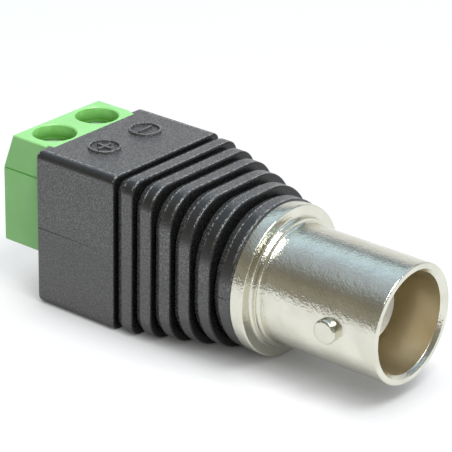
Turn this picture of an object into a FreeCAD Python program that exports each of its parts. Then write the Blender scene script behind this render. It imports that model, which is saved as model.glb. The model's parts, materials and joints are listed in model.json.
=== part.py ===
import FreeCAD, Part
import math
import os

# Adapter from a coaxial bayonet jack to a two-way screw terminal block, in millimetres.
# The origin is the centre of the jack's mouth. +X points out of the mouth and +Z to the screws.
# Places behind the mouth are negative x.

# Jack shell, one plated casting
BARREL_DIAMETER = 9.65
BARREL_WALL = 0.765
BARREL_LENGTH = 11.4
RIM_BEVEL = 0.3
BORE_END_TO_FLANGE = 3.0
LUG_DIAMETER = 1.95
LUG_HEIGHT = 0.675
LUG_TO_MOUTH = 4.2
ROOT_HEIGHT = 0.5
ROOT_LENGTH = 0.65
FLANGE_HEIGHT = 1.295
FLANGE_THICKNESS = 1.2
FLANGE_TO_TAIL_STEP = 1.72
TAIL_LENGTH = 5.0
TAIL_FLAT_DEPTH = 0.3
TAIL_FLAT_LENGTH = 2.0

# Front insulator
DIELECTRIC_DIAMETER = 4.74
DIELECTRIC_RECESS = 3.3
DIELECTRIC_SEAT_LENGTH = 5.0

# Centre contact, a turned and slotted socket
CONTACT_DIAMETER = 2.1
CONTACT_RECESS_IN_DIELECTRIC = 0.08
CONTACT_HOLE_DIAMETER = 1.36
CONTACT_HOLE_DEPTH = 4.8
CONTACT_SLOT_WIDTH = 0.2
CONTACT_SLOT_LENGTH = 3.6
CONTACT_SLOT_COUNT = 4
CONTACT_TAIL_DIAMETER = 1.5
CONTACT_TAIL_PAST_SHELL = 1.2

# Ground lug, a strip on a flat of the shell's tail
TAG_THICKNESS = 0.5
TAG_WIDTH = 2.0
TAG_LENGTH = 2.6

# Moulded body, with its margins taken from the flange
BODY_SIDE_MARGIN = 0.33
BODY_TOP_MARGIN = 0.93
BODY_BOTTOM_MARGIN = 0.03
BLOCK_LENGTH = 8.35
BLOCK_CORNER_ROUND = 0.7
RIB_COUNT = 6
RIB_PITCH = 1.9
RIB_WIDTH = 1.56
GROOVE_DEPTH = 0.9
LAST_RIB_SIDE_MARGIN = 0.03
LAST_RIB_TOP_MARGIN = 0.08
LAST_RIB_BOTTOM_MARGIN = -0.22
FIRST_RIB_CORNER_ROUND = 1.2
LAST_RIB_CORNER_ROUND = 5.9

# Terminal block housing
POLE_PITCH = 5.08
POLE_COUNT = 2
POLE_BEHIND_BODY = 1.45
TERMINAL_SIDE_ALLOWANCE = 0.07
TERMINAL_HEIGHT = 9.5
TOP_BEHIND_WELL = 0.37
SLOPE_RUN = 1.1
SLOPE_DROP = 3.05
SIDE_LINE_DEPTH = 0.12
SIDE_LINE_HEIGHT = 0.16
TENON_SIDE_STEP = 0.3
TENON_LENGTH = 3.35
TENON_FULL_HEIGHT_LENGTH = 0.65
TENON_TOP_STEP = 0.95
WELL_DIAMETER = 3.56
WELL_GUIDE_LENGTH = 1.1
WELL_STEP = 0.2
LEDGE_THICKNESS = 0.6
CHAMBER_FLOOR = 0.45
WIRE_ENTRY_DIAMETER = 2.0

# Clamp screws
HEAD_HEIGHT = 1.0
HEAD_TOP_BELOW_FACE = 1.45
SHANK_DIAMETER = 2.4
SLOT_WIDTH = 0.55
SLOT_DEPTH = 0.5

# Rising wire clamps, bent boxes that the screws draw up
CLAMP_TRAVEL = 2.0
CLAMP_WIDTH = 3.6
CLAMP_LENGTH_X = 3.3
CLAMP_TOP_PLATE = 0.8
CLAMP_SIDE_WALL = 0.45
CLAMP_BOTTOM_PLATE = 0.5
GRIP_GROOVE_COUNT = 3
GRIP_GROOVE_WIDTH = 0.3
GRIP_GROOVE_DEPTH = 0.12

# Terminal contacts, bent strips with a tongue, an upright plate and a solder pin
STRIP_THICKNESS = 0.5
TONGUE_WIDTH = 2.4
SOLDER_PIN_WIDTH = 1.0
SOLDER_PIN_LENGTH = 2.3
PIN_FOOT_LENGTH = 0.7

# Link wires with their sleeves
LINK_DIAMETER = 0.8
SLEEVE_WALL = 0.33
LINK_LAP = 1.6
SOLDER_WIDTH = 0.9
SOLDER_LENGTH = 1.3
SOLDER_GAP = 0.2
SOLDER_WETTING = 0.15

# Clearances
FIT = 0.02
RUNNING = 0.05
HEAD_CLEARANCE = 0.05
CLAMP_CLEARANCE = 0.1
LINK_CLEARANCE = 0.02

# Radii of the jack, worked out from the sizes above
barrel_radius = BARREL_DIAMETER / 2
bore_radius = barrel_radius - BARREL_WALL
lug_tip_radius = barrel_radius + LUG_HEIGHT
root_radius = barrel_radius + ROOT_HEIGHT
flange_radius = barrel_radius + FLANGE_HEIGHT
dielectric_radius = DIELECTRIC_DIAMETER / 2
seat_radius = dielectric_radius + FIT
tail_radius = flange_radius - FLANGE_TO_TAIL_STEP
tail_flat_y = tail_radius - TAIL_FLAT_DEPTH
contact_radius = CONTACT_DIAMETER / 2
contact_tail_radius = CONTACT_TAIL_DIAMETER / 2
link_hole_radius = LINK_DIAMETER / 2 + LINK_CLEARANCE
sleeve_radius = link_hole_radius + SLEEVE_WALL
solder_start = LINK_DIAMETER / 2 - SOLDER_WETTING

# Planes along the coaxial axis
flange_front_x = -BARREL_LENGTH
flange_back_x = flange_front_x - FLANGE_THICKNESS
bore_end_x = flange_front_x + BORE_END_TO_FLANGE
tail_end_x = flange_back_x - TAIL_LENGTH
tail_flat_front_x = tail_end_x + TAIL_FLAT_LENGTH
dielectric_back_x = bore_end_x - DIELECTRIC_SEAT_LENGTH
contact_front_x = -DIELECTRIC_RECESS - CONTACT_RECESS_IN_DIELECTRIC
contact_back_x = tail_end_x - CONTACT_TAIL_PAST_SHELL
tag_end_x = tail_end_x - TAG_LENGTH

# Extents of the moulded body
body_half_width = flange_radius + BODY_SIDE_MARGIN
body_top_z = flange_radius + BODY_TOP_MARGIN
body_bottom_z = -flange_radius - BODY_BOTTOM_MARGIN
block_front_x = flange_back_x - RIB_COUNT * RIB_PITCH
body_back_x = block_front_x - BLOCK_LENGTH

# Places of the terminal block
terminal_half_width = POLE_COUNT * POLE_PITCH / 2 + TERMINAL_SIDE_ALLOWANCE
terminal_top_z = body_top_z
terminal_bottom_z = terminal_top_z - TERMINAL_HEIGHT
pole_x = body_back_x - POLE_BEHIND_BODY
well_radius = WELL_DIAMETER / 2
lower_well_radius = well_radius - WELL_STEP
terminal_top_back_x = pole_x - well_radius - TOP_BEHIND_WELL
terminal_back_x = terminal_top_back_x - SLOPE_RUN
slope_foot_z = terminal_top_z - SLOPE_DROP
tenon_half_width = terminal_half_width - TENON_SIDE_STEP
tenon_front_x = body_back_x + TENON_LENGTH
head_top_z = terminal_top_z - HEAD_TOP_BELOW_FACE
head_bottom_z = head_top_z - HEAD_HEIGHT
ledge_bottom_z = head_bottom_z - LEDGE_THICKNESS
chamber_floor_z = terminal_bottom_z + CHAMBER_FLOOR
chamber_half_x = CLAMP_LENGTH_X / 2 + CLAMP_CLEARANCE
chamber_half_y = CLAMP_WIDTH / 2 + CLAMP_CLEARANCE
shank_hole_radius = SHANK_DIAMETER / 2 + RUNNING

# Places of the clamps, terminal contacts and links
clamp_top_z = ledge_bottom_z - RUNNING - CLAMP_TRAVEL
clamp_bottom_z = chamber_floor_z + RUNNING
window_top_z = clamp_top_z - CLAMP_TOP_PLATE
window_bottom_z = clamp_bottom_z + CLAMP_BOTTOM_PLATE
tongue_top_z = window_top_z - RUNNING
tongue_bottom_z = tongue_top_z - STRIP_THICKNESS
wire_z = (tongue_bottom_z + window_bottom_z) / 2
plate_back_x = tenon_front_x - STRIP_THICKNESS
tongue_back_x = pole_x - CLAMP_LENGTH_X / 2
pin_front_x = tenon_front_x + SOLDER_PIN_LENGTH
pin_bottom_z = LINK_DIAMETER / 2 + SOLDER_GAP
pin_top_z = pin_bottom_z + STRIP_THICKNESS
shank_bottom_z = tongue_top_z + 2 * RUNNING
ground_link_y = tail_flat_y - LINK_DIAMETER / 2 - LINK_CLEARANCE


def vec(x, y, z):
    return FreeCAD.Vector(x, y, z)


def box(x0, x1, y0, y1, z0, z1):
    return Part.makeBox(x1 - x0, y1 - y0, z1 - z0, vec(x0, y0, z0))


def rod_x(radius, x0, x1, y=0.0, z=0.0):
    return Part.makeCylinder(radius, x1 - x0, vec(x0, y, z), vec(1, 0, 0))


def rod_z(radius, z0, z1, x=0.0, y=0.0):
    return Part.makeCylinder(radius, z1 - z0, vec(x, y, z0), vec(0, 0, 1))


def turned(profile):
    """A solid of revolution about the X axis from a closed list of (x, radius)."""
    points = [vec(x, 0, radius) for x, radius in profile]
    face = Part.Face(Part.makePolygon(points + points[:1]))
    return face.revolve(vec(0, 0, 0), vec(1, 0, 0), 360)


def one_solid(shape):
    """The shape with its split faces joined, as a single solid."""
    clean = shape.removeSplitter()
    return clean.Solids[0]


def section(x, half_width, bottom_z, top_z, corner):
    """A face across the X axis: a rectangle with four round corners."""
    radius = min(corner, 0.499 * (top_z - bottom_z), 0.999 * half_width)
    edges = []
    inner_y = half_width - radius
    corners = [
        (inner_y, top_z - radius, 0),
        (-inner_y, top_z - radius, 90),
        (-inner_y, bottom_z + radius, 180),
        (inner_y, bottom_z + radius, 270),
    ]
    for i, (y, z, start) in enumerate(corners):
        points = []
        for turn in (0, 45, 90):
            angle = math.radians(start + turn)
            points.append(vec(x, y + radius * math.cos(angle), z + radius * math.sin(angle)))
        edges.append(Part.Arc(points[0], points[1], points[2]).toShape())
        next_y, next_z, next_start = corners[(i + 1) % 4]
        angle = math.radians(next_start)
        following = vec(x, next_y + radius * math.cos(angle), next_z + radius * math.sin(angle))
        edges.append(Part.makeLine(points[2], following))
    return Part.Face(Part.Wire(edges))


# Jack shell
def make_shell():
    shell = turned([
        (0, bore_radius + RIM_BEVEL),
        (0, barrel_radius),
        (flange_front_x + ROOT_LENGTH, barrel_radius),
        (flange_front_x, root_radius),
        (flange_front_x, flange_radius),
        (flange_back_x, flange_radius),
        (flange_back_x, tail_radius),
        (tail_end_x, tail_radius),
        (tail_end_x, seat_radius),
        (bore_end_x, seat_radius),
        (bore_end_x, bore_radius),
        (-RIM_BEVEL, bore_radius),
    ])
    flat = box(tail_end_x - 1, tail_flat_front_x, tail_flat_y, tail_radius + 1, -tail_radius, tail_radius)
    shell = shell.cut(flat)
    for side in (-1, 1):
        shell = shell.fuse(make_bayonet_lug(side))
    return one_solid(shell)


def make_bayonet_lug(side):
    root = barrel_radius - BARREL_WALL / 2
    start = vec(-LUG_TO_MOUTH, side * root, 0)
    return Part.makeCylinder(LUG_DIAMETER / 2, lug_tip_radius - root, start, vec(0, side, 0))


# Insulators and centre contact
def make_dielectric():
    rod = rod_x(dielectric_radius, dielectric_back_x, -DIELECTRIC_RECESS)
    return rod.cut(rod_x(contact_radius + FIT, dielectric_back_x - 1, 0))


def make_rear_insulator():
    disc = rod_x(dielectric_radius, tail_end_x, dielectric_back_x)
    return disc.cut(rod_x(contact_tail_radius + FIT, tail_end_x - 1, 0))


def make_center_contact():
    hole = CONTACT_HOLE_DIAMETER / 2
    hole_end_x = contact_front_x - CONTACT_HOLE_DEPTH
    contact = turned([
        (contact_front_x, hole),
        (contact_front_x, contact_radius),
        (dielectric_back_x, contact_radius),
        (dielectric_back_x, contact_tail_radius),
        (contact_back_x, contact_tail_radius),
        (contact_back_x, 0),
        (hole_end_x, 0),
        (hole_end_x, hole),
    ])
    half = CONTACT_SLOT_WIDTH / 2
    slot = box(contact_front_x - CONTACT_SLOT_LENGTH, contact_front_x + 1, -half, half, 0, CONTACT_DIAMETER)
    for i in range(CONTACT_SLOT_COUNT):
        turn = slot.copy()
        turn.rotate(vec(0, 0, 0), vec(1, 0, 0), 45 + 360 * i / CONTACT_SLOT_COUNT)
        contact = contact.cut(turn)
    return one_solid(contact)


# Ground lug
def make_ground_lug():
    outer_y = tail_flat_y + TAG_THICKNESS
    return box(tag_end_x, tail_flat_front_x, tail_flat_y, outer_y, -TAG_WIDTH / 2, TAG_WIDTH / 2)


# Moulded body
def rib_form(i):
    """Half width, bottom, top and corner radius of rib i, counted from the block to the flange."""
    bend = (i / RIB_COUNT) ** 2
    half_width = body_half_width + (LAST_RIB_SIDE_MARGIN - BODY_SIDE_MARGIN) * bend
    bottom_z = body_bottom_z - (LAST_RIB_BOTTOM_MARGIN - BODY_BOTTOM_MARGIN) * bend
    top_z = body_top_z + (LAST_RIB_TOP_MARGIN - BODY_TOP_MARGIN) * bend
    step = (LAST_RIB_CORNER_ROUND - FIRST_RIB_CORNER_ROUND) / (RIB_COUNT - 1)
    corner = FIRST_RIB_CORNER_ROUND + step * (i - 1)
    return half_width, bottom_z, top_z, corner


def make_rib(i):
    half_width, bottom_z, top_z, corner = rib_form(i)
    back_x = block_front_x + RIB_PITCH * i - RIB_WIDTH
    return section(back_x, half_width, bottom_z, top_z, corner).extrude(vec(RIB_WIDTH, 0, 0))


def make_groove_core(i):
    """The narrower neck between rib i and what stands behind it."""
    half_width, bottom_z, top_z, corner = rib_form(i)
    front_x = block_front_x + RIB_PITCH * i - RIB_WIDTH / 2
    neck = section(
        front_x - RIB_PITCH,
        half_width - GROOVE_DEPTH,
        bottom_z + GROOVE_DEPTH,
        top_z - GROOVE_DEPTH,
        max(corner - GROOVE_DEPTH, BLOCK_CORNER_ROUND),
    )
    return neck.extrude(vec(RIB_PITCH, 0, 0))


def make_body(insert_parts):
    body = section(body_back_x, body_half_width, body_bottom_z, body_top_z, BLOCK_CORNER_ROUND)
    body = body.extrude(vec(BLOCK_LENGTH, 0, 0))
    pieces = []
    for i in range(1, RIB_COUNT + 1):
        pieces.append(make_groove_core(i))
        pieces.append(make_rib(i))
    body = body.fuse(pieces)
    for part in insert_parts:
        body = body.cut(part)
    return one_solid(body)


# Terminal block housing
def pole_places():
    first = -POLE_PITCH * (POLE_COUNT - 1) / 2
    return [first + POLE_PITCH * i for i in range(POLE_COUNT)]


def make_terminal_outline():
    """The housing with its hollows filled, which is also the space that the body is moulded round."""
    half = terminal_half_width
    side = [
        vec(body_back_x, -half, terminal_bottom_z),
        vec(terminal_back_x, -half, terminal_bottom_z),
        vec(terminal_back_x, -half, slope_foot_z),
        vec(terminal_top_back_x, -half, terminal_top_z),
        vec(body_back_x, -half, terminal_top_z),
    ]
    outline = Part.Face(Part.makePolygon(side + side[:1])).extrude(vec(0, 2 * half, 0))
    inner = tenon_half_width
    key_front_x = body_back_x + TENON_FULL_HEIGHT_LENGTH
    key = box(body_back_x, key_front_x, -inner, inner, terminal_bottom_z, terminal_top_z)
    tenon_top_z = terminal_top_z - TENON_TOP_STEP
    tenon = box(key_front_x, tenon_front_x, -inner, inner, terminal_bottom_z, tenon_top_z)
    return one_solid(outline.fuse([key, tenon]))


def make_terminal_housing():
    housing = make_terminal_outline()
    half = terminal_half_width
    line_z = slope_foot_z - SIDE_LINE_HEIGHT / 2
    for y0, y1 in ((-half, -half + SIDE_LINE_DEPTH), (half - SIDE_LINE_DEPTH, half)):
        line = box(terminal_back_x - 1, body_back_x, y0, y1, line_z, line_z + SIDE_LINE_HEIGHT)
        housing = housing.cut(line)
    for y in pole_places():
        housing = housing.cut(pole_hollow(y))
    return one_solid(housing)


def pole_hollow(y):
    """The screw well, clamp chamber and wire entry of one pole."""
    guide_bottom_z = terminal_top_z - WELL_GUIDE_LENGTH
    well = rod_z(well_radius, guide_bottom_z, terminal_top_z, pole_x, y)
    lower_well = rod_z(lower_well_radius, head_bottom_z, guide_bottom_z, pole_x, y)
    shank_hole = rod_z(shank_hole_radius, ledge_bottom_z, head_bottom_z, pole_x, y)
    chamber = box(
        pole_x - chamber_half_x,
        tenon_front_x,
        y - chamber_half_y,
        y + chamber_half_y,
        chamber_floor_z,
        ledge_bottom_z,
    )
    entry = rod_x(WIRE_ENTRY_DIAMETER / 2, terminal_back_x, pole_x - chamber_half_x, y, wire_z)
    return well.fuse([lower_well, shank_hole, chamber, entry])


# Clamp screws, rising clamps and terminal contacts
def make_screw(y):
    head_radius = lower_well_radius - HEAD_CLEARANCE
    head = rod_z(head_radius, head_bottom_z + FIT, head_top_z, pole_x, y)
    shank = rod_z(SHANK_DIAMETER / 2, shank_bottom_z, head_bottom_z + FIT, pole_x, y)
    half = SLOT_WIDTH / 2
    slot = box(
        pole_x - WELL_DIAMETER,
        pole_x + WELL_DIAMETER,
        y - half,
        y + half,
        head_top_z - SLOT_DEPTH,
        head_top_z + 1,
    )
    return one_solid(head.fuse(shank).cut(slot))


def make_clamp(y):
    half_x = CLAMP_LENGTH_X / 2
    half_y = CLAMP_WIDTH / 2
    clamp = box(pole_x - half_x, pole_x + half_x, y - half_y, y + half_y, clamp_bottom_z, clamp_top_z)
    window_half = half_y - CLAMP_SIDE_WALL
    window = box(
        pole_x - CLAMP_LENGTH_X,
        pole_x + CLAMP_LENGTH_X,
        y - window_half,
        y + window_half,
        window_bottom_z,
        window_top_z,
    )
    screw_hole = rod_z(shank_hole_radius, window_top_z, clamp_top_z, pole_x, y)
    clamp = clamp.cut(window).cut(screw_hole)
    spacing = CLAMP_LENGTH_X / (GRIP_GROOVE_COUNT + 1)
    for i in range(GRIP_GROOVE_COUNT):
        x = pole_x - half_x + spacing * (i + 1) - GRIP_GROOVE_WIDTH / 2
        groove = box(
            x,
            x + GRIP_GROOVE_WIDTH,
            y - window_half,
            y + window_half,
            window_bottom_z - GRIP_GROOVE_DEPTH,
            window_bottom_z,
        )
        clamp = clamp.cut(groove)
    return one_solid(clamp)


def make_terminal_contact(y, link_y):
    """A contact whose foot leads from the tongue to a pin above the link, which runs straight."""
    half = TONGUE_WIDTH / 2
    tongue = box(tongue_back_x, tenon_front_x, y - half, y + half, tongue_bottom_z, tongue_top_z)
    plate_half = chamber_half_y - FIT
    plate = box(
        plate_back_x,
        tenon_front_x,
        y - plate_half,
        y + plate_half,
        chamber_floor_z + FIT,
        ledge_bottom_z - FIT,
    )
    foot_end_x = tenon_front_x + PIN_FOOT_LENGTH
    pin_half = SOLDER_PIN_WIDTH / 2
    low_y = min(y, link_y) - pin_half
    high_y = max(y, link_y) + pin_half
    low_z = min(tongue_bottom_z, pin_bottom_z)
    high_z = max(tongue_top_z, pin_top_z)
    foot = box(tenon_front_x, foot_end_x, low_y, high_y, low_z, high_z)
    pin = box(foot_end_x, pin_front_x, link_y - pin_half, link_y + pin_half, pin_bottom_z, pin_top_z)
    return one_solid(plate.fuse([tongue, foot, pin]))


# Solder joints of the link wires
def make_pin_solder(link_y, link):
    """Solder that fills the space between a solder pin and the link below it."""
    front_x = pin_front_x - (LINK_LAP - SOLDER_LENGTH) / 2
    half = SOLDER_WIDTH / 2
    lump = box(front_x - SOLDER_LENGTH, front_x, link_y - half, link_y + half, solder_start, pin_bottom_z)
    return one_solid(lump.cut(link))


def make_tag_solder(link):
    """Solder between the ground tag and the link that lies along it."""
    back_x = tag_end_x + (LINK_LAP - SOLDER_LENGTH) / 2
    half = SOLDER_WIDTH / 2
    inner_y = ground_link_y + solder_start
    lump = box(back_x, back_x + SOLDER_LENGTH, inner_y, tail_flat_y, -half, half)
    return one_solid(lump.cut(link))


# Assembly
link_ys = {"signal": 0.0, "ground": ground_link_y}
link_fronts = {"signal": contact_back_x, "ground": tag_end_x + LINK_LAP}
sleeve_fronts = {"signal": contact_back_x, "ground": tag_end_x}

nodes = {
    "bnc_shell": make_shell(),
    "dielectric": make_dielectric(),
    "center_contact": make_center_contact(),
    "rear_insulator": make_rear_insulator(),
    "ground_lug": make_ground_lug(),
    "terminal_housing": make_terminal_housing(),
}
sleeve_spaces = []
for side, pole_y in zip(("signal", "ground"), pole_places()):
    link_y = link_ys[side]
    link = rod_x(LINK_DIAMETER / 2, pin_front_x - LINK_LAP, link_fronts[side], link_y)
    sleeve_space = rod_x(sleeve_radius, pin_front_x, sleeve_fronts[side], link_y)
    sleeve_spaces.append(sleeve_space)
    nodes[side + "_link"] = link
    link_hole = rod_x(link_hole_radius, pin_front_x, sleeve_fronts[side], link_y)
    nodes[side + "_sleeve"] = sleeve_space.cut(link_hole)
    nodes["solder_" + side + "_pin"] = make_pin_solder(link_y, link)
    nodes["terminal_contact_" + side] = make_terminal_contact(pole_y, link_y)
    nodes["wire_clamp_" + side] = make_clamp(pole_y)
    nodes["terminal_screw_" + side] = make_screw(pole_y)
nodes["solder_ground_tag"] = make_tag_solder(nodes["ground_link"])

inserts = [
    nodes["bnc_shell"],
    rod_x(seat_radius, tail_end_x, bore_end_x),
    rod_x(contact_tail_radius, contact_back_x, tail_end_x),
    make_terminal_outline(),
] + sleeve_spaces
for name, shape in nodes.items():
    if name.startswith(("ground_lug", "terminal_contact", "solder", "signal_link", "ground_link")):
        inserts.append(shape)
nodes["housing_overmould"] = make_body(inserts)

os.makedirs("parts", exist_ok=True)
for name, shape in nodes.items():
    shape.exportStep("parts/" + name + ".step")
    print(name, len(shape.Solids), shape.isValid(), round(shape.Volume, 2))
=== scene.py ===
import json
import math

import bmesh
import bpy
from mathutils import Matrix, Vector


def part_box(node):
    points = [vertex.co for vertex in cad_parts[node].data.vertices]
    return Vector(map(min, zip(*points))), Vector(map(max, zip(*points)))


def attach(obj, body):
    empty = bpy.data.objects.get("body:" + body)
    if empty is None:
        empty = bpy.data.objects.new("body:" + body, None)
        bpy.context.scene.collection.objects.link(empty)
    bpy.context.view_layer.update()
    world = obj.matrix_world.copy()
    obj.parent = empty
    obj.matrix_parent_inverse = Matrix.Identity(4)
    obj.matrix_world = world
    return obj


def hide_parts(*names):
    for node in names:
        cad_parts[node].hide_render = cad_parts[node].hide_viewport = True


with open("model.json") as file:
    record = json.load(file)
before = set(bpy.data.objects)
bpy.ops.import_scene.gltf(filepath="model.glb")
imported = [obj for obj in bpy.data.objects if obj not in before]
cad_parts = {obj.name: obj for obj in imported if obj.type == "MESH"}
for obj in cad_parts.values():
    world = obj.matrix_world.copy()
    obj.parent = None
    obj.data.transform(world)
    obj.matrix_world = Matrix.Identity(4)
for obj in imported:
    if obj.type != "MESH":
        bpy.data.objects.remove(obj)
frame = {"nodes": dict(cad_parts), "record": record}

# Looks of a coaxial jack moulded in line with a green screw terminal block.
# Lengths are in millimetres until a mesh is made. The origin is the centre of the jack's mouth,
# +X points out of the mouth and +Z to the side that the screws open on.

MM = 0.001
TAU = 2 * math.pi
scene = bpy.context.scene
nodes = frame["nodes"]
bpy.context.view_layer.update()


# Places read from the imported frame
def node_box(name):
    """Lowest and highest corner of a node at rest, in millimetres."""
    low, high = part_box(name)
    return [v / MM for v in low], [v / MM for v in high]


body_low, body_high = node_box("housing_overmould")
terminal_low, terminal_high = node_box("terminal_housing")
dielectric_low, dielectric_high = node_box("dielectric")
contact_low, contact_high = node_box("center_contact")
screw_low, screw_high = node_box("terminal_screw_signal")
shell_back = node_box("bnc_shell")[0][0]

BODY_BACK = body_low[0]
BODY_HALF = body_high[1]
BODY_TOP = body_high[2]
BODY_BOTTOM = body_low[2]

# Shared by several pieces
FIT_GAP = 0.02      # between neighbours that don't grow into each other
TOOL_REACH = 1      # how far a cutting tool stands out of what it cuts
LOOK_MARGIN = 0.02  # tolerance of the tests for an inner look
INNER_LOOK = 1      # material number of a piece's inner look
MERGE_REACH = 1e-7  # in metres, as the next two
FLAT_REACH = 1e-8
WELD_REACH = 1e-6
SHARP_ANGLE = 40


# Mesh helpers
def rounded_outline(corners, steps=6):
    """Points of a closed outline from (u, v, radius) corners, each corner rounded by an arc."""
    points = []
    count = len(corners)
    for i, (u, v, radius) in enumerate(corners):
        here = Vector((u, v))
        if radius <= 0:
            points.append((u, v))
            continue
        before = (Vector(corners[i - 1][:2]) - here).normalized()
        after = (Vector(corners[(i + 1) % count][:2]) - here).normalized()
        half = math.acos(max(-1.0, min(1.0, before.dot(after)))) / 2
        centre = here + (before + after).normalized() * (radius / math.sin(half))
        reach = radius / math.tan(half)
        start = here + before * reach - centre
        end = here + after * reach - centre
        turn = math.atan2(start.x * end.y - start.y * end.x, start.dot(end))
        for k in range(steps + 1):
            angle = turn * k / steps
            cos_a, sin_a = math.cos(angle), math.sin(angle)
            x = start.x * cos_a - start.y * sin_a
            y = start.x * sin_a + start.y * cos_a
            points.append((centre.x + x, centre.y + y))
    return points


def tidy_mesh(mesh, merge=0.0, flat=0.0):
    """Join points and drop faces smaller than the given distances, then turn all faces outward."""
    form = bmesh.new()
    form.from_mesh(mesh)
    if merge:
        bmesh.ops.remove_doubles(form, verts=form.verts, dist=merge)
    if flat:
        bmesh.ops.dissolve_degenerate(form, edges=form.edges, dist=flat)
    bmesh.ops.recalc_face_normals(form, faces=form.faces)
    form.to_mesh(mesh)
    form.free()


def mesh_object(name, vertices, faces):
    mesh = bpy.data.meshes.new(name)
    mesh.from_pydata([(x * MM, y * MM, z * MM) for x, y, z in vertices], [], faces)
    tidy_mesh(mesh)
    obj = bpy.data.objects.new(name, mesh)
    scene.collection.objects.link(obj)
    return obj


def turned(name, outline, segments, axis="X", centre=(0, 0, 0)):
    """A solid of revolution from a closed outline of (place along the axis, radius)."""
    count = len(outline)
    vertices = []
    faces = []
    for k in range(segments):
        angle = TAU * k / segments
        c, s = math.cos(angle), math.sin(angle)
        for along, radius in outline:
            if axis == "X":
                point = (along, radius * c, radius * s)
            elif axis == "Y":
                point = (radius * c, along, radius * s)
            else:
                point = (radius * c, radius * s, along)
            vertices.append(tuple(p + q for p, q in zip(point, centre)))
    for k in range(segments):
        here, following = k * count, ((k + 1) % segments) * count
        for i in range(count):
            j = (i + 1) % count
            faces.append((here + i, here + j, following + j, following + i))
    obj = mesh_object(name, vertices, faces)
    tidy_mesh(obj.data, MERGE_REACH, FLAT_REACH)
    return obj


def block(name, low, high):
    x0, y0, z0 = low
    x1, y1, z1 = high
    vertices = [(x, y, z) for x in (x0, x1) for y in (y0, y1) for z in (z0, z1)]
    faces = [(0, 1, 3, 2), (4, 6, 7, 5), (0, 4, 5, 1), (2, 3, 7, 6), (0, 2, 6, 4), (1, 5, 7, 3)]
    return mesh_object(name, vertices, faces)


def apply_modifiers(obj):
    graph = bpy.context.evaluated_depsgraph_get()
    mesh = bpy.data.meshes.new_from_object(obj.evaluated_get(graph))
    old = obj.data
    obj.modifiers.clear()
    obj.data = mesh
    bpy.data.meshes.remove(old)


def boolean(obj, tool, operation="DIFFERENCE"):
    modifier = obj.modifiers.new("cut", "BOOLEAN")
    modifier.operation = operation
    modifier.solver = "EXACT"
    modifier.object = tool
    apply_modifiers(obj)
    bpy.data.objects.remove(tool)


def soften(obj, width, segments, angle):
    """Round the edges whose faces meet at more than the angle in degrees."""
    modifier = obj.modifiers.new("round", "BEVEL")
    modifier.width = width * MM
    modifier.segments = segments
    modifier.limit_method = "ANGLE"
    modifier.angle_limit = math.radians(angle)
    modifier.miter_outer = "MITER_ARC"
    apply_modifiers(obj)


def shade(obj):
    obj.data.shade_smooth()
    obj.data.set_sharp_from_angle(angle=math.radians(SHARP_ANGLE))
    modifier = obj.modifiers.new("normals", "WEIGHTED_NORMAL")
    modifier.keep_sharp = True
    modifier.weight = 80
    apply_modifiers(obj)


def set_edge_values(obj, values):
    """A value for each point, which says how strong the painted highlight is there."""
    wear = obj.data.attributes.new("edge", "FLOAT", "POINT")
    wear.data.foreach_set("value", values)


# Node helpers
class Nodes:
    """Short calls that add the nodes of one tree. Values are numbers, (r, g, b) or sockets."""

    def __init__(self, tree):
        self.tree = tree

    def put(self, socket, value):
        if hasattr(value, "is_linked"):
            self.tree.links.new(value, socket)
        elif socket.type == "RGBA":
            socket.default_value = (*value, 1)
        else:
            socket.default_value = value

    def add(self, kind, inputs=None, **settings):
        """A new node with its settings, and its inputs set or linked by name or number."""
        node = self.tree.nodes.new(kind)
        for setting, value in settings.items():
            setattr(node, setting, value)
        for socket, value in (inputs or {}).items():
            self.put(node.inputs[socket], value)
        return node

    def math(self, operation, a, b=0.0):
        return self.add("ShaderNodeMath", {0: a, 1: b}, operation=operation).outputs[0]

    def part(self, vector, letter):
        return self.add("ShaderNodeSeparateXYZ", {0: vector}).outputs[letter]

    def span(self, value, low, high, to_low=0.0, to_high=1.0):
        """Runs from to_low to to_high, eased, as the value goes from low to high."""
        inputs = {
            "Value": value, "From Min": low, "From Max": high, "To Min": to_low, "To Max": to_high,
        }
        node = self.add("ShaderNodeMapRange", inputs, interpolation_type="SMOOTHSTEP")
        return node.outputs["Result"]

    def blend(self, factor, a, b):
        """Colour a where the factor is 0 and b where it is 1."""
        return self.add("ShaderNodeMix", {0: factor, 6: a, 7: b}, data_type="RGBA").outputs[2]


def emptied(owner):
    """The nodes of a new material or world, which starts with none."""
    owner.use_nodes = True
    owner.node_tree.nodes.clear()
    return Nodes(owner.node_tree)


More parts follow.
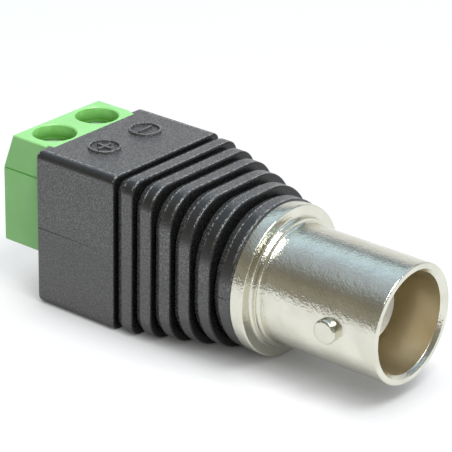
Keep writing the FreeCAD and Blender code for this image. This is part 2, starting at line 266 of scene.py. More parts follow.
class Graph(Nodes):
    """A material whose patterns have their coordinates in millimetres of the shared frame."""

    def __init__(self, name):
        self.material = bpy.data.materials.new(name)
        self.material.use_nodes = True
        super().__init__(self.material.node_tree)
        self.shader = self.tree.nodes["Principled BSDF"]
        in_metres = self.add("ShaderNodeTexCoord").outputs["Object"]
        self.place = self.scaled(in_metres, (1 / MM, 1 / MM, 1 / MM))

    def scaled(self, vector, scale):
        inputs = {"Vector": vector, "Scale": scale}
        return self.add("ShaderNodeMapping", inputs).outputs["Vector"]

    def noise(self, scale, detail=3.0, roughness=0.55, stretch=None):
        vector = self.scaled(self.place, stretch) if stretch else self.place
        inputs = {"Vector": vector, "Scale": scale, "Detail": detail, "Roughness": roughness}
        return self.add("ShaderNodeTexNoise", inputs).outputs["Fac"]

    def spread(self, noise, low, high):
        """The noise's usual range, stretched to run from low to high."""
        return self.span(noise, 0.3, 0.7, low, high)

    def mottle(self, noise, dark, light):
        return self.blend(self.spread(noise, 0.0, 1.0), dark, light)

    def facing(self, letter):
        """How far the surface faces along one axis, from -1 to 1."""
        return self.part(self.add("ShaderNodeNewGeometry").outputs["Normal"], letter)

    def edge_glint(self):
        """The mesh's own edge value, kept where the surface faces upward, for a painted highlight.
        """
        value = self.add("ShaderNodeAttribute", attribute_name="edge").outputs["Fac"]
        return self.math("MULTIPLY", value, self.span(self.facing("Z"), 0.3, 0.75))

    def flatness(self, top_share):
        """1 on faces that stand upright, top_share on level ones, 0 on the roundings between."""
        tilt = self.math("ABSOLUTE", self.facing("Z"))
        upright = self.span(tilt, 0.10, 0.30, 1.0, 0.0)
        return self.math("ADD", upright, self.span(tilt, 0.90, 0.98, 0.0, top_share))

    def bump(self, height, distance, strength, below=None):
        """Relief of the distance in millimetres, on top of the relief below."""
        inputs = {"Height": height, "Distance": distance * MM, "Strength": strength}
        if below:
            inputs["Normal"] = below
        return self.add("ShaderNodeBump", inputs).outputs["Normal"]

    def finish(self, colour, roughness, relief, metallic=0.0, specular=0.5):
        inputs = {
            "Base Color": colour,
            "Roughness": roughness,
            "Normal": relief,
            "Metallic": metallic,
            "Specular IOR Level": specular,
        }
        for socket, value in inputs.items():
            self.put(self.shader.inputs[socket], value)
        return self.material


# Materials
def overmould_material():
    """Satin black plastic, grainy and a little smoother low down. Painted shade makes its roundings
    nearly black against greyer flat faces, its grain has painted glints as pale flecks on the flat
    faces, and painted highlights run in flecks along its upper edges."""
    g = Graph("overmould_satin")
    fine = g.noise(7.0, 3.0, 0.7)
    coarse = g.noise(2.6, 2.0)
    cloud = g.noise(0.22, 3.0)
    grainy = g.span(g.part(g.place, "Z"), -0.8, 2.0, 0.65, 1.0)
    # Painted shade: the roundings nearly black, the flat faces greyer
    shaded_rounding = g.mottle(cloud, (0.012, 0.0118, 0.0115), (0.017, 0.0167, 0.0163))
    flat = g.blend(cloud, (0.042, 0.0417, 0.041), (0.058, 0.0576, 0.057))
    colour = g.blend(g.flatness(1.0), shaded_rounding, flat)
    # Painted glints of the grain: pale flecks on the flat faces, fewer on the top, none on the
    # roundings
    grain_glints = g.math("MULTIPLY", g.span(fine, 0.49, 0.57), grainy)
    grain_glints = g.math("MULTIPLY", grain_glints, g.flatness(0.6))
    colour = g.blend(grain_glints, colour, (0.20, 0.199, 0.196))
    # Painted highlight: pale flecks along upward-facing edges, by the mesh's edge value
    edge_glint_flecks = g.math("MULTIPLY", g.edge_glint(), g.span(g.noise(6.5, 1.0), 0.46, 0.60))
    colour = g.blend(edge_glint_flecks, colour, (0.38, 0.38, 0.37))
    relief = g.bump(coarse, 0.04, g.math("MULTIPLY", grainy, 0.5))
    relief = g.bump(fine, 0.045, g.math("MULTIPLY", grainy, 0.8), relief)
    material = g.finish(colour, g.spread(coarse, 0.27, 0.36), relief, specular=0.65)
    g.shader.inputs["IOR"].default_value = 1.58
    return material


def groove_shade_material():
    """The same plastic between the ribs, with painted shade that makes the walls nearly black and
    painted light that makes the slope up to each rib greyer.
    """
    g = Graph("overmould_groove_shade")
    fine = g.noise(5.5, 3.0, 0.7)
    facing_x = g.facing("X")
    slope = g.span(facing_x, -0.7, -0.5)
    slope = g.math("MULTIPLY", slope, g.span(facing_x, -0.3, -0.1, 1.0, 0.0))
    grains = g.span(fine, 0.45, 0.65)
    shaded_wall = g.blend(grains, (0.008, 0.008, 0.008), (0.022, 0.022, 0.022))
    lit_slope = g.blend(grains, (0.045, 0.045, 0.043), (0.13, 0.13, 0.126))
    colour = g.blend(slope, shaded_wall, lit_slope)
    return g.finish(colour, g.spread(fine, 0.24, 0.32), g.bump(fine, 0.03, 0.6), specular=0.35)


def green_material():
    g = Graph("terminal_green_satin")
    cloud = g.noise(0.35, 3.0)
    fine = g.noise(9.0, 3.0, 0.6)
    colour = g.mottle(cloud, (0.35, 0.79, 0.27), (0.39, 0.845, 0.31))
    colour = g.blend(g.span(fine, 0.5, 0.8, 0.0, 0.25), colour, (0.44, 0.90, 0.38))
    return g.finish(colour, g.spread(fine, 0.34, 0.44), g.bump(fine, 0.012, 0.6))


def well_shade_material():
    """The green plastic inside a well, darkened by painted shade that deepens towards the screw."""
    g = Graph("terminal_green_well_shade")
    cloud = g.noise(1.2, 3.0)
    height = g.span(g.part(g.place, "Z"), terminal_high[2] - 1.2, terminal_high[2] - 0.1)
    upper = g.mottle(cloud, (0.24, 0.60, 0.15), (0.32, 0.73, 0.22))
    colour = g.blend(height, (0.07, 0.25, 0.025), upper)
    return g.finish(colour, g.spread(cloud, 0.28, 0.40), g.bump(cloud, 0.02, 0.6))


def cast_metal(name, dark, light, roughness, depth):
    """Plate over a cast surface, with a fine granular relief."""
    g = Graph(name)
    grain = g.noise(8.5, 2.0, 0.6)
    pits = g.noise(4.6, 1.0, 0.5)
    lumps = g.noise(1.9, 2.0, 0.5)
    colour = g.mottle(g.noise(0.45, 2.0), dark, light)
    rough = g.spread(grain, roughness - 0.05, roughness + 0.06)
    relief = g.bump(lumps, 0.045 * depth, 0.5)
    relief = g.bump(pits, 0.022 * depth, 0.7, relief)
    relief = g.bump(grain, 0.018 * depth, 0.8, relief)
    return g.finish(colour, rough, relief, metallic=1.0)


def drawn_metal(name, dark, light, roughness, stretch):
    """Rolled or turned metal with faint lines along one direction."""
    g = Graph(name)
    lines = g.noise(9.0, 3.0, 0.6, stretch)
    colour = g.mottle(g.noise(0.8, 2.0), dark, light)
    rough = g.spread(lines, roughness - 0.05, roughness + 0.06)
    return g.finish(colour, rough, g.bump(lines, 0.006, 0.7), metallic=1.0)


def soft_plastic(name, dark, light, roughness):
    """Insulator or sleeve with a faint waxy unevenness."""
    g = Graph(name)
    fine = g.noise(8.0, 2.0)
    colour = g.mottle(g.noise(0.9, 3.0), dark, light)
    rough = g.spread(fine, roughness - 0.05, roughness + 0.05)
    return g.finish(colour, rough, g.bump(fine, 0.008, 0.5))


# The finish of each material slot
SLOTS = {
    "nickel_plate": (cast_metal, "nickel_cast",
                     (0.68, 0.67, 0.575), (0.75, 0.745, 0.645), 0.13, 1.0),
    "white_insulator": (soft_plastic, "white_insulator",
                        (0.84, 0.84, 0.81), (0.90, 0.90, 0.88), 0.38),
    "gold_plate": (drawn_metal, "gold_plate",
                   (0.78, 0.55, 0.18), (0.86, 0.64, 0.26), 0.22, (8, 1, 1)),
    "tinned_brass": (drawn_metal, "tinned_brass",
                     (0.66, 0.66, 0.64), (0.74, 0.74, 0.72), 0.34, (1, 1, 6)),
    "tinned_wire": (drawn_metal, "tinned_wire",
                    (0.70, 0.69, 0.67), (0.77, 0.76, 0.74), 0.30, (0.3, 6, 6)),
    "red_sleeve": (soft_plastic, "red_sleeve",
                   (0.42, 0.04, 0.035), (0.55, 0.06, 0.05), 0.55),
    "black_sleeve": (soft_plastic, "black_sleeve",
                     (0.03, 0.03, 0.03), (0.05, 0.05, 0.05), 0.55),
    "solder": (cast_metal, "solder",
               (0.62, 0.63, 0.64), (0.72, 0.73, 0.74), 0.28, 0.6),
    "screw_steel": (drawn_metal, "screw_zinc",
                    (0.80, 0.81, 0.83), (0.88, 0.89, 0.91), 0.5, (1, 1, 4)),
    "clamp_steel": (drawn_metal, "clamp_zinc",
                    (0.60, 0.61, 0.63), (0.72, 0.73, 0.75), 0.34, (1, 6, 1)),
}
looks = {"overmould": overmould_material(), "terminal_green": green_material()}
for slot, (maker, *values) in SLOTS.items():
    looks[slot] = maker(*values)
groove_painted_shade = groove_shade_material()
well_painted_shade = well_shade_material()
bore_look = cast_metal("nickel_bore", (0.84, 0.745, 0.535), (0.90, 0.815, 0.605), 0.36, 0.6)
slot_of = {part["node"]: part["material_slot"] for part in frame["record"]["subparts"]}


def dress(obj, slot):
    """Give an object its slot's look, and keep which of its polygons have an inner look."""
    inner = [polygon.material_index for polygon in obj.data.polygons]
    obj.data.materials.clear()
    obj.data.materials.append(looks[slot])
    obj.data.polygons.foreach_set("material_index", inner)


def stands_for(obj, node, body="adapter", inner_look=None):
    """Dress a finished piece and put it in a node's place, riding on that node's body."""
    shade(obj)
    dress(obj, slot_of[node])
    if inner_look:
        obj.data.materials.append(inner_look)
    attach(obj, body)
    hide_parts(node)


for name, node in nodes.items():
    dress(node, slot_of[name])

# Moulded body: rings of points round the X axis, from its back to the face of its last rib
BLOCK_LENGTH = 8.35
BLOCK_CORNER = 0.7
BLOCK_END = (0.3, 0.3)              # run and fall of the block's back edge
RIBS = 6
RIB_PITCH = 1.9
RIB_WIDTH = 1.62
BACK_SLOPE = (0.62, 0.28)           # run and fall of each rib's back edge
# The back edge's rings: share of the run, share of the fall still to go, edge value (strength of
# the painted highlight)
BACK_RINGS = ((0, 1, 0), (0.06, 0.90, 0), (0.90, 0.08, 0), (0.97, 0.02, 1), (1.06, 0, 1))
FRONT_ROUND = 0.17
ROUND_STEPS = 5
GLINT_STEPS = 3
EDGE_BAND = 0.1                     # a flat's outermost strip, with its own row of faces
MOST_BAND = 0.3                     # the strip's largest share of a side
GROOVE_DEPTH = 0.9
LAST_RIB = (-0.30, 0.25, -0.85)     # change of half width, bottom and top up to the last rib
RIB_CORNERS = (1.2, 5.9)            # corner radius of the first and the last rib
ARC_POINTS = 14
SIDE_POINTS = 7
# Edge values set the strength of a painted highlight
BLOCK_EDGE_VALUE = 1.6              # edge value along the block's upper edges
KEY_LENGTH = 0.65
TENON_HALF = terminal_high[1] - 0.3
PARTING_Z = 0.5
PARTING_LENGTH = 7.3
PARTING_DEPTH = 0.12
PARTING_HALF = 0.05
NICKS = ((5, 0.03, 0.03), (6, 0.14, 0.06))  # rib, height and half width
NICK_DEPTH = 0.14
NICK_START = 0.3
CUT_OUTSIDE = 0.05
# The grooves' look is painted shade on the walls and painted light on the slope
GROOVE_MARGIN = 0.07                # reach of the groove's look beyond its walls
SLOPE_SHARE = 0.6                   # share of the back edge that has the groove's look


def ring_at(x, form, inset, least_corner=0.0):
    """One closed ring at x: a form's rounded rectangle, drawn in on all sides by the inset."""
    half, bottom, top, corner = form
    half, bottom, top = half - inset, bottom + inset, top - inset
    corner = max(corner - inset, least_corner)
    arcs = []
    for side_y, side_z, start in ((1, 1, 0), (-1, 1, 90), (-1, -1, 180), (1, -1, 270)):
        centre_y = side_y * (half - corner)
        centre_z = top - corner if side_z > 0 else bottom + corner
        arc = []
        for k in range(ARC_POINTS + 1):
            angle = math.radians(start + 90 * k / ARC_POINTS)
            arc.append((centre_y + corner * math.cos(angle), centre_z + corner * math.sin(angle)))
        arcs.append(arc)
    ring = []
    for arc, following in zip(arcs, arcs[1:] + arcs[:1]):
        (y0, z0), (y1, z1) = arc[-1], following[0]
        near = min(MOST_BAND, EDGE_BAND / max(math.hypot(y1 - y0, z1 - z0), EDGE_BAND))
        ring += arc
        for k in range(SIDE_POINTS):
            t = near + (1 - 2 * near) * k / (SIDE_POINTS - 1)
            ring.append((y0 + (y1 - y0) * t, z0 + (z1 - z0) * t))
    return [(x, y, z) for y, z in ring]


def rib_form(i):
    """Half width, bottom, top and corner radius of rib i, counted from 1 at the block."""
    bend = (i / RIBS) ** 2
    half = BODY_HALF + LAST_RIB[0] * bend
    bottom = BODY_BOTTOM + LAST_RIB[1] * bend
    top = BODY_TOP + LAST_RIB[2] * bend
    corner = RIB_CORNERS[0] + (RIB_CORNERS[1] - RIB_CORNERS[0]) * (i - 1) / (RIBS - 1)
    return half, bottom, top, corner


def crown(back, front, form, back_edge, foot):
    """Rings of one rib with their edge values: up its back, over its crown, down its front."""
    run, fall = back_edge
    rings = [(ring_at(back, form, foot, BLOCK_CORNER), 0)]
    for run_share, fall_share, edge in BACK_RINGS:
        rings.append((ring_at(back + run * run_share, form, fall * fall_share), edge))
    rings.append((ring_at(back + run + EDGE_BAND, form, 0), 0))
    rings.append((ring_at(front - FRONT_ROUND - EDGE_BAND, form, 0), 0))
    for k in range(ROUND_STEPS + 1):
        angle = math.pi / 2 * (1 - k / ROUND_STEPS)
        x = front - FRONT_ROUND * (1 - math.cos(angle))
        # The first rings of the front round carry the painted highlight
        edge = max(0, GLINT_STEPS - k) / GLINT_STEPS
        rings.append((ring_at(x, form, FRONT_ROUND * (1 - math.sin(angle))), edge))
    rings.append((ring_at(front, form, foot, BLOCK_CORNER), 0))
    return rings


def make_body():
    block_form = (BODY_HALF, BODY_BOTTOM, BODY_TOP, BLOCK_CORNER)
    block_front = BODY_BACK + BLOCK_LENGTH
    rings = crown(BODY_BACK, block_front, block_form, BLOCK_END, BLOCK_END[1])[1:-1]
    rings.append((ring_at(block_front, rib_form(1), GROOVE_DEPTH, BLOCK_CORNER), 0))
    for i in range(1, RIBS + 1):
        front = block_front + RIB_PITCH * i
        rings += crown(front - RIB_WIDTH, front, rib_form(i), BACK_SLOPE, GROOVE_DEPTH)
        if i < RIBS:
            rings.append((ring_at(front, rib_form(i + 1), GROOVE_DEPTH, BLOCK_CORNER), 0))
    count = len(rings[0][0])
    last = len(rings) - 1
    faces = [tuple(range(count)), tuple(range(last * count, (last + 1) * count))]
    for k in range(last):
        a, b = k * count, (k + 1) * count
        for i in range(count):
            j = (i + 1) % count
            faces.append((a + i, b + i, b + j, a + j))
    body = mesh_object("moulded_body", [point for ring, edge in rings for point in ring], faces)
    # Edge values, the strength of the painted highlight, with the block's upper edges stronger
    upper_edges = (ARC_POINTS, count // 4)
    values = []
    for ring, edge in rings:
        for i, (x, y, z) in enumerate(ring):
            on_block_edge = x < block_front - FRONT_ROUND and i in upper_edges
            values.append(BLOCK_EDGE_VALUE if on_block_edge else edge)
    set_edge_values(body, values)
    tidy_mesh(body.data, MERGE_REACH)
    return body


def line_cut(side, half, z, back, front, deep, wide):
    """A fine V-shaped line along X in one side of the moulding, running out at its front end."""
    outer = side * (half + CUT_OUTSIDE)
    foot = side * (half - deep)
    run_out = side * half
    vertices = [
        (back, outer, z + wide), (back, outer, z - wide), (back, foot, z),
        (front, outer, z + wide), (front, outer, z - wide), (front, run_out, z),
    ]
    faces = [(0, 1, 2), (3, 5, 4), (0, 3, 4, 1), (1, 4, 5, 2), (2, 5, 3, 0)]
    boolean(body, mesh_object("parting_cut", vertices, faces))


body = make_body()
key_space = block(
    "key_space",
    (BODY_BACK - TOOL_REACH, -TENON_HALF - FIT_GAP, terminal_low[2] - FIT_GAP),
    (BODY_BACK + KEY_LENGTH + FIT_GAP, TENON_HALF + FIT_GAP, BODY_TOP + TOOL_REACH),
)
boolean(body, key_space)
for side in (-1, 1):
    back, front = BODY_BACK - TOOL_REACH, BODY_BACK + PARTING_LENGTH
    line_cut(side, BODY_HALF, PARTING_Z, back, front, PARTING_DEPTH, PARTING_HALF)
    for i, z, wide in NICKS:
        back = BODY_BACK + BLOCK_LENGTH + RIB_PITCH * i - RIB_WIDTH
        half = rib_form(i)[0]
        line_cut(side, half, z, back + NICK_START, back + RIB_WIDTH, NICK_DEPTH, wide)
# Polygons in the grooves take the painted shade and light of the groove material
groove_end = RIB_PITCH - RIB_WIDTH + BACK_SLOPE[0] * SLOPE_SHARE + GROOVE_MARGIN
for polygon in body.data.polygons:
    beyond_block = polygon.center.x / MM - (BODY_BACK + BLOCK_LENGTH) + GROOVE_MARGIN
    if 0 < beyond_block < RIB_PITCH * RIBS and beyond_block % RIB_PITCH < groove_end:
        polygon.material_index = INNER_LOOK
stands_for(body, "housing_overmould", inner_look=groove_painted_shade)

# Jack shell
BARREL_RADIUS = 4.825
BORE_RADIUS = 4.06
BORE_END = -8.4
MOUTH_FLARE = 0.3
SEAT_RADIUS = dielectric_high[1] + FIT_GAP
FLANGE_RADIUS = 6.12
FLANGE_FRONT = -11.4
FLANGE_BACK = -12.6
ROOT_RING_RADIUS = 5.14
ROOT_RING_LENGTH = 0.48
ROOT_FILLET = 0.55
TAIL_RADIUS = 4.4
LUG_X = -4.2
LUG_RADIUS = 0.975
LUG_TIP = 5.5
LUG_ROOT = BARREL_RADIUS - 0.38

shell = turned("jack_shell", rounded_outline([
    (0, BORE_RADIUS + MOUTH_FLARE, 0.03),
    (0, BARREL_RADIUS, 0.15),
    (FLANGE_FRONT + ROOT_RING_LENGTH, BARREL_RADIUS, ROOT_FILLET / 2),
    (FLANGE_FRONT + ROOT_RING_LENGTH, ROOT_RING_RADIUS, 0.04),
    (FLANGE_FRONT, ROOT_RING_RADIUS, 0.25),
    (FLANGE_FRONT, FLANGE_RADIUS, 0.14),
    (FLANGE_BACK, FLANGE_RADIUS, 0.12),
    (FLANGE_BACK, TAIL_RADIUS, 0),
    (shell_back, TAIL_RADIUS, 0),
    (shell_back, SEAT_RADIUS, 0),
    (BORE_END, SEAT_RADIUS, 0),
    (BORE_END, BORE_RADIUS, 0.2),
    (-MOUTH_FLARE, BORE_RADIUS, 0.05),
]), 160)
for side in (-1, 1):
    lug = turned("lug", rounded_outline([
        (side * LUG_ROOT, 0, 0),
        (side * LUG_ROOT, LUG_RADIUS, 0),
        (side * LUG_TIP, LUG_RADIUS, 0.24),
        (side * LUG_TIP, 0, 0),
    ], 4), 48, "Y", (LUG_X, 0, 0))
    boolean(shell, lug, "UNION")
for polygon in shell.data.polygons:
    middle = polygon.center / MM
    if math.hypot(middle.y, middle.z) < BORE_RADIUS + LOOK_MARGIN and middle.x < -MOUTH_FLARE:
        polygon.material_index = INNER_LOOK
stands_for(shell, "bnc_shell", inner_look=bore_look)

# Insulator and centre contact
CONTACT_RADIUS = contact_high[1]
CONTACT_FRONT = contact_high[0]
CONTACT_HOLE = 0.68
CONTACT_HOLE_DEPTH = 4.8
CONTACT_HOLE_BEVEL = (0.12, 0.1)    # depth and growth of the hole's rim
CONTACT_SLOT = 0.2
CONTACT_SLOT_LENGTH = 3.6
CONTACT_TAIL_RADIUS = 0.75
SLOT_TOOL_HALF = 3

insulator_hole = CONTACT_RADIUS + FIT_GAP
insulator = turned("front_insulator", rounded_outline([
    (dielectric_high[0], insulator_hole, 0.06),
    (dielectric_high[0], dielectric_high[1], 0.14),
    (dielectric_low[0], dielectric_high[1], 0),
    (dielectric_low[0], insulator_hole, 0),
], 4), 96)
stands_for(insulator, "dielectric")

contact = turned("centre_socket", rounded_outline([
    (CONTACT_FRONT, CONTACT_HOLE + CONTACT_HOLE_BEVEL[1], 0.02),
    (CONTACT_FRONT, CONTACT_RADIUS, 0.08),
    (dielectric_low[0], CONTACT_RADIUS, 0),
    (dielectric_low[0], CONTACT_TAIL_RADIUS, 0),
    (contact_low[0], CONTACT_TAIL_RADIUS, 0.05),
    (contact_low[0], 0, 0),
    (CONTACT_FRONT - CONTACT_HOLE_DEPTH, 0, 0),
    (CONTACT_FRONT - CONTACT_HOLE_DEPTH, CONTACT_HOLE, 0),
    (CONTACT_FRONT - CONTACT_HOLE_BEVEL[0], CONTACT_HOLE, 0),
], 3), 64)
for turn in (45, 135):
    slot_tool = block(
        "slot_tool",
        (CONTACT_FRONT - CONTACT_SLOT_LENGTH, -CONTACT_SLOT / 2, -SLOT_TOOL_HALF),
        (CONTACT_FRONT + TOOL_REACH, CONTACT_SLOT / 2, SLOT_TOOL_HALF),
    )
    slot_tool.data.transform(Matrix.Rotation(math.radians(turn), 4, "X"))
    boolean(contact, slot_tool)
stands_for(contact, "center_contact")

# Terminal housing
POLE_X = (screw_low[0] + screw_high[0]) / 2
POLE_YS = (-2.54, 2.54)
WELL_RADIUS = 1.78
WELL_GUIDE = 1.1
WELL_RIM = (0.1, 1.1)               # depth of the bevelled rim, and its growth up to the tool's end
# The wells' inner look is painted shade
WELL_LOOK_TOP = 0.05                # where the inner look starts under the top face
WELL_LOOK_BELOW = 0.1               # and how far it reaches below the head's seat
LOWER_WELL_RADIUS = 1.58
HEAD_BOTTOM = 4.6
LEDGE_BOTTOM = 4.0
CHAMBER_FLOOR = -2.0
CHAMBER_HALF_X = 1.75
CHAMBER_HALF_Y = 1.9
SHANK_HOLE = 1.25
ENTRY_RADIUS = 1.0
ENTRY_RIM = (0.2, 1.2)              # the same for a wire entry
WIRE_Z = -0.425
SLOPE_FOOT_Z = 4.0
SLOPE_RUN = 1.1
KEY_SINK = 0.6
TENON_TOP = 6.1
TENON_FRONT = -29.0
TENON_WALL = 0.5
TOOL_OVERLAP = 0.2
EDGE_ROUND = 0.16
KEY_ROUND = 0.08
LINE_DEPTH = 0.12
LINE_HALF = 0.08
LINE_END = 0.1


def make_housing():
    half = terminal_high[1]
    back, top, bottom = terminal_low[0], terminal_high[2], terminal_low[2]
    side = [
        (BODY_BACK - FIT_GAP / 2, bottom),
        (back, bottom),
        (back, SLOPE_FOOT_Z),
        (back + SLOPE_RUN, top),
        (BODY_BACK - FIT_GAP / 2, top),
    ]
    count = len(side)
    vertices = [(x, y, z) for y in (-half, half) for x, z in side]
    faces = [tuple(range(count)), tuple(range(count, 2 * count))]
    for i in range(count):
        j = (i + 1) % count
        faces.append((i, j, count + j, count + i))
    housing = mesh_object("terminal_block", vertices, faces)
    soften(housing, EDGE_ROUND, 4, 15)
    key_back = (BODY_BACK - KEY_SINK, -TENON_HALF, bottom)
    key = block("key", key_back, (BODY_BACK + KEY_LENGTH, TENON_HALF, top))
    soften(key, KEY_ROUND, 3, 30)
    boolean(housing, key, "UNION")
    tenon = block("tenon", key_back, (TENON_FRONT, TENON_HALF, TENON_TOP))
    boolean(housing, tenon, "UNION")
    for pole_y in POLE_YS:
        well = turned("well", rounded_outline([
            (top + TOOL_REACH, 0, 0),
            (top + TOOL_REACH, WELL_RADIUS + WELL_RIM[1], 0),
            (top - WELL_RIM[0], WELL_RADIUS, 0.02),
            (top - WELL_GUIDE, WELL_RADIUS, 0.03),
            (top - WELL_GUIDE, LOWER_WELL_RADIUS, 0),
            (HEAD_BOTTOM, LOWER_WELL_RADIUS, 0),
            (HEAD_BOTTOM, SHANK_HOLE, 0),
            (LEDGE_BOTTOM - TOOL_OVERLAP, SHANK_HOLE, 0),
            (LEDGE_BOTTOM - TOOL_OVERLAP, 0, 0),
        ], 2), 96, "Z", (POLE_X, pole_y, 0))
        boolean(housing, well)
        chamber = block(
            "chamber",
            (POLE_X - CHAMBER_HALF_X, pole_y - CHAMBER_HALF_Y, CHAMBER_FLOOR),
            (TENON_FRONT + TENON_WALL, pole_y + CHAMBER_HALF_Y, LEDGE_BOTTOM),
        )
        boolean(housing, chamber)
        entry = turned("entry", rounded_outline([
            (back - TOOL_REACH, 0, 0),
            (back - TOOL_REACH, ENTRY_RADIUS + ENTRY_RIM[1], 0),
            (back + ENTRY_RIM[0], ENTRY_RADIUS, 0.05),
            (POLE_X - CHAMBER_HALF_X + TOOL_OVERLAP, ENTRY_RADIUS, 0),
            (POLE_X - CHAMBER_HALF_X + TOOL_OVERLAP, 0, 0),
        ], 2), 64, "X", (0, pole_y, WIRE_Z))
        boolean(housing, entry)
    for side_y in (-1, 1):
        y0, y1 = sorted((side_y * (half - LINE_DEPTH), side_y * (half + TOOL_REACH)))
        line = block(
            "line",
            (back - TOOL_REACH, y0, SLOPE_FOOT_Z - LINE_HALF),
            (BODY_BACK - LINE_END, y1, SLOPE_FOOT_Z + LINE_HALF),
        )
        boolean(housing, line)
    # Polygons inside the wells take the painted shade of the well material
    for polygon in housing.data.polygons:
        middle = polygon.center / MM
        reach = min(math.hypot(middle.x - POLE_X, middle.y - pole_y) for pole_y in POLE_YS)
        in_height = HEAD_BOTTOM - WELL_LOOK_BELOW < middle.z < top - WELL_LOOK_TOP
        if reach < WELL_RADIUS + LOOK_MARGIN and in_height:
            polygon.material_index = INNER_LOOK
    return housing


stands_for(make_housing(), "terminal_housing", inner_look=well_painted_shade)

# Clamp screws, a little prouder in their wells than the solids' heads
HEAD_RADIUS = (screw_high[0] - screw_low[0]) / 2
HEAD_RISE = 0.22
HEAD_TOP = screw_high[2] + HEAD_RISE
HEAD_SEAT = HEAD_BOTTOM + FIT_GAP
SHANK_RADIUS = 1.2
SHANK_BOTTOM = screw_low[2]
SLOT_HALF = 0.275
SLOT_DEPTH = 0.5 + HEAD_RISE

for pole, pole_y in zip(("signal", "ground"), POLE_YS):
    screw = turned("clamp_screw_" + pole, rounded_outline([
        (HEAD_TOP, 0, 0),
        (HEAD_TOP, HEAD_RADIUS, 0.12),
        (HEAD_SEAT, HEAD_RADIUS, 0.03),
        (HEAD_SEAT, SHANK_RADIUS, 0),
        (SHANK_BOTTOM, SHANK_RADIUS, 0.2),
        (SHANK_BOTTOM, 0, 0),
    ], 4), 96, "Z", (POLE_X, pole_y, 0))
    slot_tool = block(
        "slot_tool",
        (POLE_X - SLOT_TOOL_HALF, pole_y - SLOT_HALF, HEAD_TOP - SLOT_DEPTH),
        (POLE_X + SLOT_TOOL_HALF, pole_y + SLOT_HALF, HEAD_TOP + TOOL_REACH),
    )
    boolean(screw, slot_tool)
    stands_for(screw, "terminal_screw_" + pole, "screw_" + pole)

# Raised pole marks: a ring with a plus or a minus in it
MARK_X = -28.65
MARK_YS = (-2.25, 2.65)
MARK_RADIUS = 1.35
MARK_LINE = 0.2
MARK_HEIGHT = 0.2
MARK_SINK = 0.05
MARK_ROUND = 0.07
BAR_LENGTH = 1.5
BAR_ROUND = 0.06
CREST_DEPTH = 0.05
# Strength of the painted highlight on the marks' crests
CREST_EDGE_VALUE = 0.6


def make_mark(name, pole_y, bars):
    low, high = BODY_TOP - MARK_SINK, BODY_TOP + MARK_HEIGHT
    inner = MARK_RADIUS - MARK_LINE
    mark = turned(name, rounded_outline([
        (low, inner, 0),
        (low, MARK_RADIUS, 0),
        (high, MARK_RADIUS, MARK_ROUND),
        (high, inner, MARK_ROUND),
    ], 3), 72, "Z", (MARK_X, pole_y, 0))
    for half_x, half_y in bars:
        bar = block(
            "bar",
            (MARK_X - half_x, pole_y - half_y, low),
            (MARK_X + half_x, pole_y + half_y, high),
        )
        soften(bar, BAR_ROUND, 3, 30)
        boolean(mark, bar, "UNION")
    # The crests get the painted highlight
    crest = (high - CREST_DEPTH) * MM
    set_edge_values(mark, [CREST_EDGE_VALUE * (v.co.z > crest) for v in mark.data.vertices])
    shade(mark)
    dress(mark, "overmould")
    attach(mark, "adapter")


thin, long = MARK_LINE / 2, BAR_LENGTH / 2
make_mark("plus_mark", MARK_YS[0], [(thin, long), (long, thin)])
make_mark("minus_mark", MARK_YS[1], [(thin, long)])

# Edges of the hidden strips and clamps
STRIP_ROUND = 0.05
STRIP_ANGLE = 50
for name, node in nodes.items():
    if name.startswith(("wire_clamp", "terminal_contact", "ground_lug")):
        weld = node.modifiers.new("weld", "WELD")
        weld.merge_threshold = WELD_REACH
        edge = node.modifiers.new("round", "BEVEL")
        edge.width = STRIP_ROUND * MM
        edge.segments = 2
        edge.limit_method = "ANGLE"
        edge.angle_limit = math.radians(STRIP_ANGLE)

# Floor: a grey that takes the shadow, under a glow that the camera, metal and glass see.
# The glow fades close to the object, so that the metal's underside doesn't mirror a bright floor.
FLOOR_HALF = 3000
FLOOR_GREY = 0.36
FLOOR_GLOW = 0.64
GLOW_FADE = 4                       # how far from the object the glow starts to fade
GLOW_FADE_SAMPLES = 8

quarters = ((-1, -1), (1, -1), (1, 1), (-1, 1))
floor_corners = [(x * FLOOR_HALF, y * FLOOR_HALF, BODY_BOTTOM) for x, y in quarters]
floor = mesh_object("floor", floor_corners, [(0, 1, 2, 3)])
floor_look = bpy.data.materials.new("floor_pale")
f = emptied(floor_look)
ray = f.add("ShaderNodeLightPath").outputs
seen = f.math("MAXIMUM", ray["Is Camera Ray"], ray["Is Glossy Ray"])
seen = f.math("MAXIMUM", seen, ray["Is Transmission Ray"])
near = {"Distance": GLOW_FADE * MM}
openness = f.add("ShaderNodeAmbientOcclusion", near, samples=GLOW_FADE_SAMPLES).outputs["AO"]
open_glow = f.math("MULTIPLY", openness, FLOOR_GLOW)
glow = f.add("ShaderNodeEmission", {"Strength": f.math("MULTIPLY", seen, open_glow)})
grey = f.add("ShaderNodeBsdfDiffuse", {"Color": (FLOOR_GREY, FLOOR_GREY, FLOOR_GREY)})
both = f.add("ShaderNodeAddShader", {0: grey.outputs[0], 1: glow.outputs[0]})
f.add("ShaderNodeOutputMaterial", {"Surface": both.outputs[0]})
floor.data.materials.append(floor_look)

# World: one soft room for the camera, the light and the reflections. Its near half, towards -Y,
# is dim, and its far half is bright low down and has a dark band and a blue one above.
world = bpy.data.worlds.new("studio")
scene.world = world
w = emptied(world)
direction = w.add("ShaderNodeTexCoord").outputs["Generated"]
height = w.part(direction, "Z")


def sky_ramp(stops):
    """Colours of the room by the height of the direction, from 0 at the horizon to 1 overhead."""
    node = w.add("ShaderNodeValToRGB", {"Fac": height})
    node.color_ramp.interpolation = "EASE"
    elements = node.color_ramp.elements
    for element, (position, colour) in zip(elements, (stops[0], stops[-1])):
        element.position, element.color = position, (*colour, 1)
    for position, colour in stops[1:-1]:
        elements.new(position).color = (*colour, 1)
    return node.outputs["Color"]


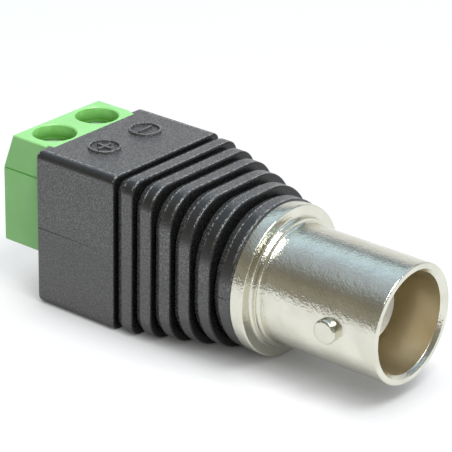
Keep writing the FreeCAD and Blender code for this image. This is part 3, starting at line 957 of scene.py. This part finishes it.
ROOM_LEVEL = 1.25
HALVES_MEET = (-0.1, 0.2)
near_half = sky_ramp([
    (0.0, (0.72, 0.70, 0.65)),
    (0.02, (0.22, 0.21, 0.18)),
    (0.24, (0.28, 0.265, 0.225)),
    (0.41, (0.21, 0.20, 0.15)),
    (0.58, (0.17, 0.155, 0.14)),
    (0.70, (0.24, 0.255, 0.255)),
    (0.82, (0.38, 0.43, 0.50)),
    (1.0, (0.48, 0.54, 0.62)),
])
far_half = sky_ramp([
    (0.0, (0.80, 0.79, 0.77)),
    (0.20, (0.68, 0.68, 0.68)),
    (0.43, (0.60, 0.61, 0.63)),
    (0.53, (0.13, 0.14, 0.17)),
    (0.60, (0.18, 0.22, 0.26)),
    (0.68, (0.44, 0.53, 0.60)),
    (0.76, (0.72, 0.90, 1.0)),
    (0.81, (0.52, 0.66, 0.84)),
    (0.86, (0.42, 0.52, 0.66)),
    (1.0, (0.48, 0.54, 0.62)),
])
sky = w.blend(w.span(w.part(direction, "Y"), *HALVES_MEET), near_half, far_half)
studio = w.add("ShaderNodeBackground", {"Color": sky, "Strength": ROOM_LEVEL})
w.add("ShaderNodeOutputWorld", {"Surface": studio.outputs[0]})

# Lamps
LAMP_AIM = Vector((-18, 0, 0)) * MM


def softbox(name, place, size, watts):
    lamp = bpy.data.lights.new(name, "AREA")
    lamp.shape = "RECTANGLE"
    lamp.size = lamp.size_y = size * MM
    lamp.energy = watts
    obj = bpy.data.objects.new(name, lamp)
    scene.collection.objects.link(obj)
    obj.location = Vector(place) * MM
    obj.rotation_euler = (LAMP_AIM - obj.location).to_track_quat("-Z", "Y").to_euler()


softbox("key", (108, -30, 270), 110, 0.60)
softbox("accent", (80, -120, 230), 60, 0.10)

# Camera at the photograph's viewing angle
AZIMUTH = math.radians(38.693)
ELEVATION = math.radians(24.336)
ROLL = math.radians(1.14)
ACROSS, DOWN, DISTANCE = 13.876, -7.338, 177.876
FOCAL_PIXELS = 2390.915
FRAME_PIXELS = 452
SENSOR = 36.0
CLIP_START, CLIP_END = 0.01, 10     # in metres

away = Vector((
    math.sin(AZIMUTH) * math.cos(ELEVATION),
    -math.cos(AZIMUTH) * math.cos(ELEVATION),
    math.sin(ELEVATION),
))
level_right = Vector((0, 0, 1)).cross(away).normalized()
level_up = away.cross(level_right)
right = math.cos(ROLL) * level_right + math.sin(ROLL) * level_up
up = -math.sin(ROLL) * level_right + math.cos(ROLL) * level_up
place = (away * DISTANCE - right * ACROSS - up * DOWN) * MM
camera_data = bpy.data.cameras.new("camera")
camera_data.sensor_width = SENSOR
camera_data.sensor_fit = "HORIZONTAL"
camera_data.lens = FOCAL_PIXELS / FRAME_PIXELS * SENSOR
camera_data.clip_start, camera_data.clip_end = CLIP_START, CLIP_END
camera = bpy.data.objects.new("camera", camera_data)
scene.collection.objects.link(camera)
camera.matrix_world = Matrix((
    (right.x, up.x, away.x, place.x),
    (right.y, up.y, away.y, place.y),
    (right.z, up.z, away.z, place.z),
    (0, 0, 0, 1),
))
scene.camera = camera
scene.view_settings.view_transform = "Standard"
